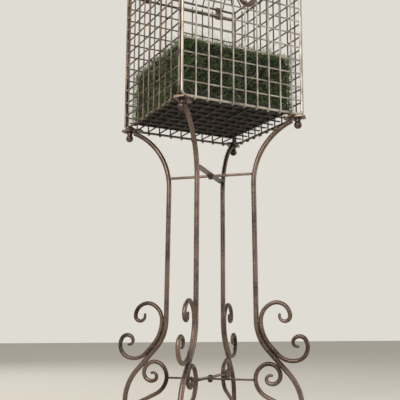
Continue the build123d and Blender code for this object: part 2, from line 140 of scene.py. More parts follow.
# The moss: how its lumps and stems are drawn
MOSS_CUTS = 54
LUMP_IN, LUMP_OUT = 0.012, 0.002
SIDE_SHARES = (2.0, 1.4, 1.2, 0.8, 1.2)
STEM_PIECES = 7
LONGEST_STEM = 0.036
ROUNDING_FROM, ROUNDING_FALL = 0.88, 0.06

# One dry stem that hangs from the cage's floor
DRY_STEM = [
    (0.072, -0.108, 0.600),
    (0.070, -0.110, 0.578),
    (0.066, -0.112, 0.570),
    (0.058, -0.112, 0.564),
    (0.045, -0.112, 0.560),
    (0.041, -0.112, 0.549),
    (0.043, -0.112, 0.538),
]
DRY_STEM_ROD = 0.0007
DRY_STEM_WAVE = 0.0012

STAND_FINISH = "bronze paint over hammered wrought iron"
WIRE_FINISH = "rubbed bronze paint on welded steel wire"
# The front wall's wire paint is a paler copy of the wire finish: painted light for the light that falls on
# the front wires.
FRONT_PAINTED_LIGHT_FINISH = "bleached bronze paint on welded steel wire"
# The floor wires' paint is a darker copy of the wire finish: painted shade on their undersides.
FLOOR_PAINTED_SHADE_FINISH = "shaded bronze paint on welded steel wire"
FASTENER_FINISH = "dark bronze paint on turned steel"
RUBBER_FINISH = "moulded black rubber"
LINER_FINISH = "pressed black liner plastic"
SOIL_FINISH = "planting soil"
# The packed moss is near-black: painted shade between the stems, which carry the moss's greens.
MOSS_FINISH = "packed moss"
STEM_FINISH = "dried moss stems"

# Area lights: place, size, power and colour
LAMPS = {
    "key_light": ((-1.5, -1.3, 1.5), 1.1, 34, "FFF6EA"),
    "fill_light": ((1.6, -1.2, 1.0), 1.4, 12, "F1F5FF"),
    "back_light": ((-0.4, 1.8, 1.7), 1.2, 16, "FFFFFF"),
}
LIT_POINT = (0, 0, 0.7)
ROOM_LIGHT, ROOM_STRENGTH = "F4F1EC", 0.55
BACKDROP = "DFDCD4"

# The camera, fitted to the mesh's crossings in the photograph
CAMERA_PLACE = (-0.6469, -1.2074, 0.1927)
CAMERA_FORWARD = (0.4518, 0.8747, 0.1761)
CAMERA_ROLL = 0.25
CAMERA_LENS = 63.76
CAMERA_SENSOR = 36


class CageSizes(bpy.types.PropertyGroup):
    """Sizes of the wire cage."""

    floor_z: bpy.props.FloatProperty(
        name="Floor height", description="Height of the cage's bottom rods", default=0.595, unit="LENGTH"
    )
    half: bpy.props.FloatProperty(
        name="Half width", description="From the axis to a wall's rods", default=0.132, unit="LENGTH"
    )
    height: bpy.props.FloatProperty(
        name="Wall height", description="From bottom rod to top bar", default=0.297, unit="LENGTH"
    )
    rod: bpy.props.FloatProperty(
        name="Frame rod", description="Thickness of the frame's rods", default=0.005, unit="LENGTH"
    )
    wire: bpy.props.FloatProperty(
        name="Wire", description="Thickness of the mesh's wires", default=0.003, unit="LENGTH"
    )
    corner_bend: bpy.props.FloatProperty(
        name="Corner bend",
        description="Radius of a wall frame's lower corners",
        default=0.009,
        unit="LENGTH",
    )
    columns: bpy.props.IntProperty(name="Columns", description="Cells across a wall", default=10, min=2)
    rows: bpy.props.IntProperty(name="Rows", description="Cells up a wall", default=11, min=2)


class RoofSizes(bpy.types.PropertyGroup):
    """Sizes of the hinged roof."""

    lift: bpy.props.FloatProperty(
        name="Lift", description="From the walls' top bars to the roof's rim", default=0.018, unit="LENGTH"
    )
    rise: bpy.props.FloatProperty(
        name="Rise", description="From the rim to the cap", default=0.190, unit="LENGTH"
    )
    top_half: bpy.props.FloatProperty(
        name="Top half width", description="Half width where the hips end", default=0.015, unit="LENGTH"
    )
    rows: bpy.props.IntProperty(name="Rows", description="Level wires on a side", default=7, min=1)


class StandSizes(bpy.types.PropertyGroup):
    """Sizes of the forged stand."""

    leg_rod: bpy.props.FloatProperty(
        name="Leg rod", description="Thickness of a leg", default=0.0095, unit="LENGTH"
    )
    scroll_rod: bpy.props.FloatProperty(
        name="Scroll rod", description="Thickness of a scroll", default=0.008, unit="LENGTH"
    )
    tip_rod: bpy.props.FloatProperty(
        name="Scroll tip",
        description="Thickness at a scroll's drawn-out end",
        default=0.0045,
        unit="LENGTH",
    )
    draw_length: bpy.props.FloatProperty(
        name="Drawn length",
        description="How far back from its end a scroll tapers",
        default=0.040,
        unit="LENGTH",
    )


class PlantingSizes(bpy.types.PropertyGroup):
    """Sizes and counts of the moss."""

    round: bpy.props.FloatProperty(
        name="Edge radius", description="Rounding of the moss block", default=0.020, unit="LENGTH"
    )
    bed_lift: bpy.props.FloatProperty(
        name="Bed lift",
        description="From the packed block's foot to the moss",
        default=-0.001,
        unit="LENGTH",
    )
    crown_lift: bpy.props.FloatProperty(
        name="Crown lift", description="Loose moss over the packed block", default=0.008, unit="LENGTH"
    )
    overhang: bpy.props.FloatProperty(
        name="Overhang", description="Loose moss over the tray's rim", default=0.012, unit="LENGTH"
    )
    outreach: bpy.props.FloatProperty(
        name="Outreach", description="How far stems reach out of the moss", default=0.009, unit="LENGTH"
    )
    fibres: bpy.props.IntProperty(
        name="Fibres", description="Fine stems over the moss", default=20000, min=0
    )
    fibre_length: bpy.props.FloatProperty(
        name="Fibre length", description="Usual length of a stem", default=0.013, unit="LENGTH"
    )
    seed: bpy.props.IntProperty(name="Seed", description="Start of the random draws", default=7)


class Finishes(bpy.types.PropertyGroup):
    """Colours, as sRGB hex values."""

    iron_dark: bpy.props.StringProperty(
        name="Iron, dark", description="Paint in the hollows", default="2B1F19"
    )
    iron_mid: bpy.props.StringProperty(
        name="Iron, body", description="Paint over the rods", default="54423A"
    )
    iron_worn: bpy.props.StringProperty(
        name="Iron, worn", description="Rubbed high spots", default="AD9A8E"
    )
    wire_dark: bpy.props.StringProperty(
        name="Wire, dark", description="Paint in the hollows", default="33271F"
    )
    wire_mid: bpy.props.StringProperty(
        name="Wire, body", description="Paint over the wires", default="66554A"
    )
    wire_worn: bpy.props.StringProperty(
        name="Wire, worn", description="Rubbed high spots", default="A89D8E"
    )
    # The front wire tones are paler and more rubbed than the other wires: painted light on the front wall,
    # not faded paint.
    front_lit_dark: bpy.props.StringProperty(
        name="Front wire, dark", description="Paint in the hollows", default="75685D"
    )
    front_lit_mid: bpy.props.StringProperty(
        name="Front wire, body", description="Paint lightened as painted light", default="A69D90"
    )
    front_lit_worn: bpy.props.StringProperty(
        name="Front wire, worn", description="Rubbed high spots", default="D6D3C4"
    )
    # The floor wire tones are darker and less rubbed than the other wires: painted shade under the cage.
    floor_shade_dark: bpy.props.StringProperty(
        name="Floor wire, dark", description="Paint in the hollows", default="241A15"
    )
    floor_shade_mid: bpy.props.StringProperty(
        name="Floor wire, body", description="Paint on the shaded side", default="42352D"
    )
    floor_shade_worn: bpy.props.StringProperty(
        name="Floor wire, worn", description="Rubbed high spots", default="6E6054"
    )
    bolt_dark: bpy.props.StringProperty(
        name="Fastener, dark", description="Paint in the hollows", default="1C1412"
    )
    bolt_mid: bpy.props.StringProperty(
        name="Fastener, body", description="Paint over turned steel", default="40302B"
    )
    bolt_worn: bpy.props.StringProperty(
        name="Fastener, worn", description="Rubbed high spots", default="8A7A72"
    )
    rubber_deep: bpy.props.StringProperty(
        name="Rubber, dark", description="Hollows of the rubber", default="0C0C0C"
    )
    rubber_light: bpy.props.StringProperty(
        name="Rubber, light", description="Scuffed rubber", default="1B1A19"
    )
    liner_deep: bpy.props.StringProperty(
        name="Liner, dark", description="Hollows of the liner", default="11100E"
    )
    liner_light: bpy.props.StringProperty(
        name="Liner, light", description="Scuffed liner", default="1F1B17"
    )
    soil_deep: bpy.props.StringProperty(
        name="Soil, dark", description="Damp soil", default="140D08"
    )
    soil_light: bpy.props.StringProperty(
        name="Soil, light", description="Dry crumbs", default="35261A"
    )
    # Both moss body tones are near-black painted shade between the stems.
    moss_shade: bpy.props.StringProperty(
        name="Moss, shade", description="Between the clumps", default="0A1007"
    )
    moss_stem_shade: bpy.props.StringProperty(
        name="Moss, deep", description="Moss between the stems", default="0D150A"
    )
    moss_green: bpy.props.StringProperty(
        name="Moss, green", description="Fresh stems", default="36502A"
    )
    moss_pale: bpy.props.StringProperty(
        name="Moss, pale", description="Dry stems", default="93A06F"
    )
    floor: bpy.props.StringProperty(
        name="Floor", description="Studio floor", default="DDD9D0"
    )


def to_linear(code):
    """A colour node's value from an sRGB hex value."""
    parts = [int(code[i : i + 2], 16) / 255 for i in (0, 2, 4)]
    return [p / 12.92 if p <= 0.04045 else ((p + 0.055) / 1.055) ** 2.4 for p in parts] + [1.0]


def add_node(tree, kind, inputs=None, **settings):
    """Adds a node; an input's value is a number, a colour or another node's output."""
    node = tree.nodes.new(kind)
    for name, value in settings.items():
        setattr(node, name, value)
    for name, value in (inputs or {}).items():
        if isinstance(value, bpy.types.NodeSocket):
            tree.links.new(value, node.inputs[name])
        else:
            node.inputs[name].default_value = value
    return node


def per_metre(size_mm):
    """The scale at which a texture repeats about once in a size in millimetres."""
    return 1000 / size_mm


def new_material(name):
    """An empty material with its node tree and output."""
    material = bpy.data.materials.new(name)
    material.use_nodes = True
    tree = material.node_tree
    tree.nodes.clear()
    output = add_node(tree, "ShaderNodeOutputMaterial")
    return material, tree, output


def painted_iron(name, dark, mid, worn, patch_mm, mark_mm, grain_mm, wear, roughness):
    """Bronze paint brushed over hot-worked iron and rubbed through to a paler tone on its high spots.

    The eye sees slow patches of brown, a soft sheen that changes along a rod, and shallow dents.
    """
    material, tree, output = new_material(name)
    place = add_node(tree, "ShaderNodeTexCoord").outputs["Object"]
    patches = add_node(
        tree,
        "ShaderNodeTexNoise",
        {"Vector": place, "Scale": per_metre(patch_mm), "Detail": 4.0, "Roughness": 0.6},
    ).outputs["Fac"]
    marks = add_node(
        tree,
        "ShaderNodeTexVoronoi",
        {"Vector": place, "Scale": per_metre(mark_mm), "Smoothness": 1.0},
        feature="SMOOTH_F1",
    ).outputs["Distance"]
    grain = add_node(
        tree,
        "ShaderNodeTexNoise",
        {"Vector": place, "Scale": per_metre(grain_mm), "Detail": 3.0},
    ).outputs["Fac"]
    body_share = add_node(
        tree, "ShaderNodeMapRange", {"Value": patches, "From Min": 0.3, "From Max": 0.55}
    ).outputs["Result"]
    body = add_node(
        tree, "ShaderNodeMix", {0: body_share, 6: to_linear(dark), 7: to_linear(mid)}, data_type="RGBA"
    ).outputs[2]
    rubbed = add_node(tree, "ShaderNodeMath", {0: grain, 1: patches}, operation="ADD").outputs[0]
    worn_share = add_node(
        tree,
        "ShaderNodeMapRange",
        {"Value": rubbed, "From Min": 0.85, "From Max": 1.3, "To Max": wear},
    ).outputs["Result"]
    colour = add_node(
        tree, "ShaderNodeMix", {0: worn_share, 6: body, 7: to_linear(worn)}, data_type="RGBA"
    ).outputs[2]
    gloss = add_node(
        tree,
        "ShaderNodeMapRange",
        {"Value": patches, "To Min": roughness - 0.1, "To Max": roughness + 0.12},
    ).outputs["Result"]
    coarse = add_node(
        tree, "ShaderNodeBump", {"Height": marks, "Strength": 0.25, "Distance": mark_mm * MM * 0.08}
    ).outputs["Normal"]
    fine = add_node(
        tree,
        "ShaderNodeBump",
        {"Height": grain, "Strength": 0.2, "Distance": grain_mm * MM * 0.12, "Normal": coarse},
    ).outputs["Normal"]
    shader = add_node(
        tree,
        "ShaderNodeBsdfPrincipled",
        {"Base Color": colour, "Roughness": gloss, "Metallic": 0.7, "Normal": fine},
    )
    tree.links.new(shader.outputs[0], output.inputs["Surface"])
    return material


def dull_solid(name, deep, light, grain_mm, roughness, bump):
    """A matt mass in two tones, such as moulded rubber, pressed liner plastic, soil or packed moss.

    The eye sees a fine grain with no gloss. For packed moss both tones are near-black painted shade between
    the stems.
    """
    material, tree, output = new_material(name)
    place = add_node(tree, "ShaderNodeTexCoord").outputs["Object"]
    grain = add_node(
        tree,
        "ShaderNodeTexNoise",
        {"Vector": place, "Scale": per_metre(grain_mm), "Detail": 5.0, "Roughness": 0.65},
    ).outputs["Fac"]
    share = add_node(
        tree, "ShaderNodeMapRange", {"Value": grain, "From Min": 0.35, "From Max": 0.65}
    ).outputs["Result"]
    colour = add_node(
        tree, "ShaderNodeMix", {0: share, 6: to_linear(deep), 7: to_linear(light)}, data_type="RGBA"
    ).outputs[2]
    normal = add_node(
        tree, "ShaderNodeBump", {"Height": grain, "Strength": bump, "Distance": grain_mm * MM * 0.3}
    ).outputs["Normal"]
    shader = add_node(
        tree,
        "ShaderNodeBsdfPrincipled",
        {"Base Color": colour, "Roughness": roughness, "Normal": normal},
    )
    tree.links.new(shader.outputs[0], output.inputs["Surface"])
    return material


def moss_stems(name, green, pale):
    """Dried moss stems: each stem has its own tone between fresh green and straw."""
    material, tree, output = new_material(name)
    share = add_node(tree, "ShaderNodeNewGeometry").outputs["Random Per Island"]
    straw = add_node(
        tree, "ShaderNodeMapRange", {"Value": share, "From Min": 0.25, "From Max": 1.2}
    ).outputs["Result"]
    colour = add_node(
        tree, "ShaderNodeMix", {0: straw, 6: to_linear(green), 7: to_linear(pale)}, data_type="RGBA"
    ).outputs[2]
    shader = add_node(tree, "ShaderNodeBsdfPrincipled", {"Base Color": colour, "Roughness": 0.75})
    tree.links.new(shader.outputs[0], output.inputs["Surface"])
    return material


def shared_material(key):
    """Makes a material once and keeps it by its name."""
    tone = bpy.context.scene.planter_finishes
    if key in bpy.data.materials:
        return bpy.data.materials[key]
    if key == STEM_FINISH:
        return moss_stems(key, tone.moss_green, tone.moss_pale)
    irons = {
        STAND_FINISH: (tone.iron_dark, tone.iron_mid, tone.iron_worn, 90, 9, 2.0, 0.6, 0.34),
        WIRE_FINISH: (tone.wire_dark, tone.wire_mid, tone.wire_worn, 22, 5, 1.4, 0.55, 0.4),
        # The paler tones and heavier rubbing on the front wires are painted light.
        FRONT_PAINTED_LIGHT_FINISH: (tone.front_lit_dark, tone.front_lit_mid, tone.front_lit_worn, 30, 5, 1.4, 0.9, 0.36),
        # The darker tones and lighter rubbing on the floor wires are painted shade.
        FLOOR_PAINTED_SHADE_FINISH: (tone.floor_shade_dark, tone.floor_shade_mid, tone.floor_shade_worn, 22, 5, 1.4, 0.4, 0.5),
        FASTENER_FINISH: (tone.bolt_dark, tone.bolt_mid, tone.bolt_worn, 9, 4, 1.0, 0.6, 0.34),
    }
    if key in irons:
        return painted_iron(key, *irons[key])
    solids = {
        RUBBER_FINISH: (tone.rubber_deep, tone.rubber_light, 1.2, 0.72, 0.15),
        LINER_FINISH: (tone.liner_deep, tone.liner_light, 2.5, 0.6, 0.2),
        SOIL_FINISH: (tone.soil_deep, tone.soil_light, 3.0, 0.95, 0.8),
        # The moss body's near-black tones are painted shade between the stems.
        MOSS_FINISH: (tone.moss_shade, tone.moss_stem_shade, 4.0, 0.95, 1.0),
    }
    return dull_solid(key, *solids[key])


def dress_node(node, finish):
    """Gives a CAD node that stays in view its material."""
    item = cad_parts[node]
    for index in range(len(item.material_slots)):
        item.material_slots[index].link = "OBJECT"
        item.material_slots[index].material = shared_material(finish)


def seat(item, finish, body, nodes=()):
    """Gives a new piece its material, body, slot and the nodes it stands for."""
    item.data.materials.clear()
    item.data.materials.append(shared_material(finish))
    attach(item, body)
    if nodes:
        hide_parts(*nodes)
    return item


def mesh_piece(name, mesh, sharp_degrees=40):
    """An object of a mesh with smooth sides and sharp rims."""
    mesh.shade_smooth()
    mesh.set_sharp_from_angle(angle=math.radians(sharp_degrees))
    item = bpy.data.objects.new(name, mesh)
    bpy.context.scene.collection.objects.link(item)
    return item


def rods(name, paths, thickness, closed=False, resolution=3):
    """Round rods along lists of points; a fourth number at a point scales the rod there."""
    curve = bpy.data.curves.new(name, "CURVE")
    curve.dimensions = "3D"
    curve.bevel_depth = thickness / 2
    curve.bevel_resolution = resolution
    curve.use_fill_caps = True
    for path in paths:
        spline = curve.splines.new("POLY")
        spline.points.add(len(path) - 1)
        spline.use_cyclic_u = closed
        for spot, point in zip(path, spline.points):
            point.co = (spot[0], spot[1], spot[2], 1)
            point.radius = spot[3] if len(spot) > 3 else 1
    bent = bpy.data.objects.new(name, curve)
    mesh = bpy.data.meshes.new_from_object(bent)
    mesh.name = name
    bpy.data.objects.remove(bent)
    bpy.data.curves.remove(curve)
    return mesh_piece(name, mesh)


def turned(name, profile, places, steps=28):
    """A turned piece from (radius, height) points, copied to places."""
    form = bmesh.new()
    for place in places:
        rings = []
        for radius, height in profile:
            if radius == 0:
                rings.append([form.verts.new(Vector(place) + Vector((0, 0, height)))])
                continue
            ring = []
            for i in range(steps):
                turn = i * math.tau / steps
                spot = Vector((radius * math.cos(turn), radius * math.sin(turn), height))
                ring.append(form.verts.new(Vector(place) + spot))
            rings.append(ring)
        for low, high in zip(rings, rings[1:]):
            for i in range(steps):
                j = (i + 1) % steps
                quad = [low[i % len(low)], low[j % len(low)], high[j % len(high)], high[i % len(high)]]
                form.faces.new(list(dict.fromkeys(quad)))
    bmesh.ops.recalc_face_normals(form, faces=form.faces)
    mesh = bpy.data.meshes.new(name)
    form.to_mesh(mesh)
    form.free()
    return mesh_piece(name, mesh, 35)


def bent_line(start, heading, runs, step_degrees=6):
    """Points of a bent rod in its own sheet: a run is (radius, turn) or (0, length)."""
    x, y = start
    points = [(x, y)]
    for radius, amount in runs:
        if radius == 0:
            x += amount * math.cos(math.radians(heading))
            y += amount * math.sin(math.radians(heading))
            points.append((x, y))
            continue
        steps = max(2, math.ceil(abs(amount) / step_degrees))
        turn = amount / steps
        chord = 2 * radius * math.sin(math.radians(abs(turn) / 2))
        for _ in range(steps):
            x += chord * math.cos(math.radians(heading + turn / 2))
            y += chord * math.sin(math.radians(heading + turn / 2))
            heading += turn
            points.append((x, y))
    return points


def stand_up(points, turn):
    """Places sheet points (out from the axis, up from the cage floor) in space at an angle."""
    floor_z = bpy.context.scene.planter_cage.floor_z
    out_x, out_y = math.cos(math.radians(turn)), math.sin(math.radians(turn))
    return [(x * out_x, x * out_y, floor_z + y, *rest) for x, y, *rest in points]


def drawn_out(points, rod, tip, length, both=True):
    """Adds a rod's scale to each point, so that it thins towards its ends."""
    lengths = [0]
    for (x0, y0), (x1, y1) in zip(points, points[1:]):
        lengths.append(lengths[-1] + math.hypot(x1 - x0, y1 - y0))
    thinned = []
    for (x, y), along in zip(points, lengths):
        end = min(along, lengths[-1] - along) if both else along
        share = min(1, end / length)
        thinned.append((x, y, (tip + (rod - tip) * math.sin(share * math.pi / 2)) / rod))
    return thinned


def beside(point, heading, gap):
    """A point to the left of another."""
    turn = math.radians(heading)
    return point[0] - gap * math.sin(turn), point[1] + gap * math.cos(turn)


def stand_lines(sizes):
    """The lines of one leg and its two scrolls in the leg's sheet."""
    weld = (sizes.leg_rod + sizes.scroll_rod) / 2 + TOUCH
    leg = bent_line(LEG_TOP, LEG_TOP_HEADING, LEG_RUNS)
    flare_start = bent_line(LEG_TOP, LEG_TOP_HEADING, LEG_TO_LEAN_END)[-1]
    flare_end = bent_line(LEG_TOP, LEG_TOP_HEADING, LEG_TO_FLARE_END)[-1]
    foot_x = leg[-1][0]
    leg.append((foot_x, -bpy.context.scene.planter_cage.floor_z + CAP_FLOOR))
    outer_start = beside(flare_start, LEAN_HEADING, weld)
    hug = (FLARE_BEND - weld, FLARE_HEADING - LEAN_HEADING)
    outer_lower = bent_line(outer_start, LEAN_HEADING, [hug] + OUTER_FOOT_CURL)
    outer_upper = bent_line(outer_start, LEAN_HEADING + 180, OUTER_TOP_CURL)
    turn = math.radians(FLARE_HEADING)
    contact = (
        flare_end[0] + SCROLL_CONTACT * math.cos(turn),
        flare_end[1] + SCROLL_CONTACT * math.sin(turn),
    )
    inner_start = beside(contact, FLARE_HEADING, -weld)
    inner_upper = bent_line(inner_start, FLARE_HEADING, INNER_TOP_CURL)
    inner_lower = bent_line(inner_start, FLARE_HEADING + 180, INNER_FOOT_RUN)
    end_turn = math.radians(FLARE_HEADING + 180 + sum(bend for _, bend in INNER_FOOT_RUN))
    reach = (foot_x - inner_lower[-1][0]) / math.cos(end_turn)
    inner_lower.append((foot_x, inner_lower[-1][1] + reach * math.sin(end_turn)))
    return {
        "leg": leg,
        "outer": outer_upper[:0:-1] + outer_lower,
        "inner": inner_upper[:0:-1] + inner_lower,
        "contacts": [
            beside(contact, FLARE_HEADING, -sizes.leg_rod / 2),
            beside(flare_start, LEAN_HEADING, sizes.leg_rod / 2),
            beside(flare_end, FLARE_HEADING, sizes.leg_rod / 2),
            (foot_x - sizes.leg_rod / 2, inner_lower[-1][1]),
        ],
    }


class PLANTER_OT_stand(bpy.types.Operator):
    """Forges the legs with their scrolls and welds."""

    bl_idname = "planter.stand"
    bl_label = "Stand"

    def execute(self, context):
        sizes = context.scene.planter_stand
        lines = stand_lines(sizes)
        thinning = (sizes.scroll_rod, sizes.tip_rod, sizes.draw_length)
        parts = {
            "leg": (lines["leg"], sizes.leg_rod),
            "outer_scroll": (drawn_out(lines["outer"], *thinning), sizes.scroll_rod),
            "inner_scroll": (drawn_out(lines["inner"], *thinning, both=False), sizes.scroll_rod),
        }
        for corner, turn in CORNER_TURNS.items():
            for part, (line, rod) in parts.items():
                piece = rods(f"forged_{part}_{corner}", [stand_up(line, turn)], rod, resolution=5)
                seat(piece, STAND_FINISH, "base", [f"{part}_{corner}"])
        weld_beads(lines["contacts"], sizes)
        return {"FINISHED"}


def weld_beads(contacts, sizes):
    """Lumpy fillets of weld where the scrolls meet the legs."""
    form = bmesh.new()
    for turn in CORNER_TURNS.values():
        for spot in stand_up(contacts, turn):
            made = bmesh.ops.create_icosphere(form, subdivisions=3, radius=sizes.scroll_rod * WELD_SHARE)
            for vertex in made["verts"]:
                lump = 1 + WELD_LUMP * noise.noise(vertex.co * 900 + Vector(spot) * 40)
                vertex.co = vertex.co * lump
                vertex.co.z *= WELD_STRETCH
                vertex.co += Vector(spot)
    mesh = bpy.data.meshes.new("weld_beads")
    form.to_mesh(mesh)
    form.free()
    seat(mesh_piece("weld_beads", mesh, 80), STAND_FINISH, "base")


class PLANTER_OT_fittings(bpy.types.Operator):
    """Finishes the braces, plates, bolts, washers, ball nuts and foot caps."""

    bl_idname = "planter.fittings"
    bl_label = "Fittings"

    def execute(self, context):
        for level in ("upper", "lower"):
            for strap in "ab":
                dress_node(f"{level}_brace_strap_{strap}", STAND_FINISH)
        for node in ("corner_plates", "corner_gussets"):
            dress_node(node, STAND_FINISH)
        dress_node("brace_nuts", FASTENER_FINISH)
        floor_z = context.scene.planter_cage.floor_z
        at = [(x * BOLT_AT, y * BOLT_AT, floor_z) for x in (-1, 1) for y in (-1, 1)]
        bolts = turned("dome_head_bolts", BOLT_OUTLINE, at)
        seat(bolts, FASTENER_FINISH, "base", ["corner_bolts"])
        washers = turned("round_washers", WASHER_OUTLINE, at)
        seat(washers, FASTENER_FINISH, "base", ["corner_washers"])
        nuts = turned("ball_nuts_round", ball_nut_outline(), at)
        seat(nuts, FASTENER_FINISH, "base", ["ball_nuts"])
        brace_at = [(0, 0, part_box(f"{level}_brace_strap_a")[1].z) for level in ("upper", "lower")]
        pins = turned("brace_bolts_round", BRACE_BOLT_OUTLINE, brace_at)
        seat(pins, FASTENER_FINISH, "base", ["brace_bolts"])
        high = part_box("foot_caps")[1]
        foot = (high.x + high.y) / 2 - FOOT_CAP_HALF
        feet = [(x * foot, y * foot, 0) for x in (-1, 1) for y in (-1, 1)]
        caps = turned("ribbed_foot_caps", foot_cap_outline(), feet, steps=36)
        seat(caps, RUBBER_FINISH, "base", ["foot_caps"])
        return {"FINISHED"}


def ball_nut_outline(ball=0.0075, neck=0.0055, top=-0.0079, base=0.004, bevel=0.0005):
    """Half outline of a ball nut: a short round neck, then the ball."""
    outline = [(0.0031, top), (neck - bevel, top), (neck, top - bevel), (neck, top - base + 0.0004)]
    middle = top - base - ball
    for turn in range(48, 180, 12):
        outline.append((ball * math.sin(math.radians(turn)), middle + ball * math.cos(math.radians(turn))))
    return outline + [(0, middle - ball)]


def foot_cap_outline(height=0.020, lower=FOOT_CAP_HALF, upper=0.0071, ribs=5, depth=0.0004):
    """Half outline of a rubber cup with shallow grip ribs."""
    outline = [(0, 0), (lower - 0.0012, 0), (lower, 0.001)]
    for rib in range(ribs):
        z = 0.003 + rib * 0.003
        half = lower + (upper - lower) * z / height
        outline += [(half, z), (half - depth, z + depth), (half - depth, z + 0.0011), (half, z + 0.0015)]
    outline += [(upper, height - 0.001), (upper - 0.0008, height), (FOOT_CAP_BORE, height)]
    return outline + [(FOOT_CAP_BORE, CAP_FLOOR), (0, CAP_FLOOR)]


def column_places(cage):
    """Where the wires of a wall stand along it."""
    inset = cage.rod / math.sqrt(2) + TOUCH
    pitch = 2 * (cage.half - inset) / cage.columns
    return [(i + 1 - cage.columns / 2) * pitch for i in range(cage.columns - 1)]


def on_wall(cage, turn, along, out, up):
    """A point of a wall: along it, out from its rods and up from the cage's floor."""
    out_x, out_y = math.cos(math.radians(turn)), math.sin(math.radians(turn))
    reach = cage.half + out
    return (out_x * reach - out_y * along, out_y * reach + out_x * along, cage.floor_z + up)


class PLANTER_OT_walls(bpy.types.Operator):
    """Makes each wall's rod frame, hooked upright wires and level wires."""

    bl_idname = "planter.walls"
    bl_label = "Walls"

    def execute(self, context):
        cage, roof = context.scene.planter_cage, context.scene.planter_roof
        edge = cage.half - cage.rod / math.sqrt(2) - TOUCH
        post_top = cage.height + roof.lift - cage.rod / 2 - POST_GAP
        layer = (cage.rod + cage.wire) / 2 + TOUCH
        frame_runs = [
            (0, post_top - cage.corner_bend),
            (cage.corner_bend, 90),
            (0, 2 * (edge - cage.corner_bend)),
            (cage.corner_bend, 90),
            (0, post_top - cage.corner_bend),
        ]
        outline = bent_line((-edge, post_top), -90, frame_runs, 10)
        wire_top = cage.height + roof.lift - WIRE_TOP_GAP
        hook = [(layer, wire_top), (layer, 0.0)]
        for angle in range(20, 170, 20):
            turned_by = math.radians(angle)
            hook.append((layer * math.cos(turned_by), -layer * math.sin(turned_by)))
        pitch = cage.height / cage.rows
        bar_end = edge - BAR_GAP
        inner = layer - cage.wire
        for wall, turn in WALL_TURNS.items():
            bars = [[on_wall(cage, turn, x, 0, y) for x, y in outline]]
            bars.append([on_wall(cage, turn, side * bar_end, 0, cage.height) for side in (-1, 1)])
            frame_rods = rods(f"wall_frame_{wall}", bars, cage.rod)
            # The front wall gets the paler copy of the wire paint as painted light; the other walls keep the
            # plain wire paint.
            finish = FRONT_PAINTED_LIGHT_FINISH if wall == "front" else WIRE_FINISH
            seat(frame_rods, finish, "base")
            wires = []
            for column in column_places(cage):
                wires.append([on_wall(cage, turn, column, x, y) for x, y in hook])
            for row in range(1, cage.rows):
                wires.append([on_wall(cage, turn, side * bar_end, inner, row * pitch) for side in (-1, 1)])
            mesh = rods(f"wall_wires_{wall}", wires, cage.wire, resolution=2)
            seat(mesh, finish, "base", [f"{wall}_wall"])
        lower = cage.floor_z + layer
        reach = cage.half - TOUCH
        grid = []
        for column in column_places(cage):
            grid.append([(column, side * reach, lower) for side in (-1, 1)])
            grid.append([(side * reach, column, lower + cage.wire) for side in (-1, 1)])
        floor = rods("floor_wires", grid, cage.wire, resolution=2)
        # The floor wires get the darker copy of the wire paint as painted shade.
        seat(floor, FLOOR_PAINTED_SHADE_FINISH, "base", ["floor_mesh"])
        return {"FINISHED"}


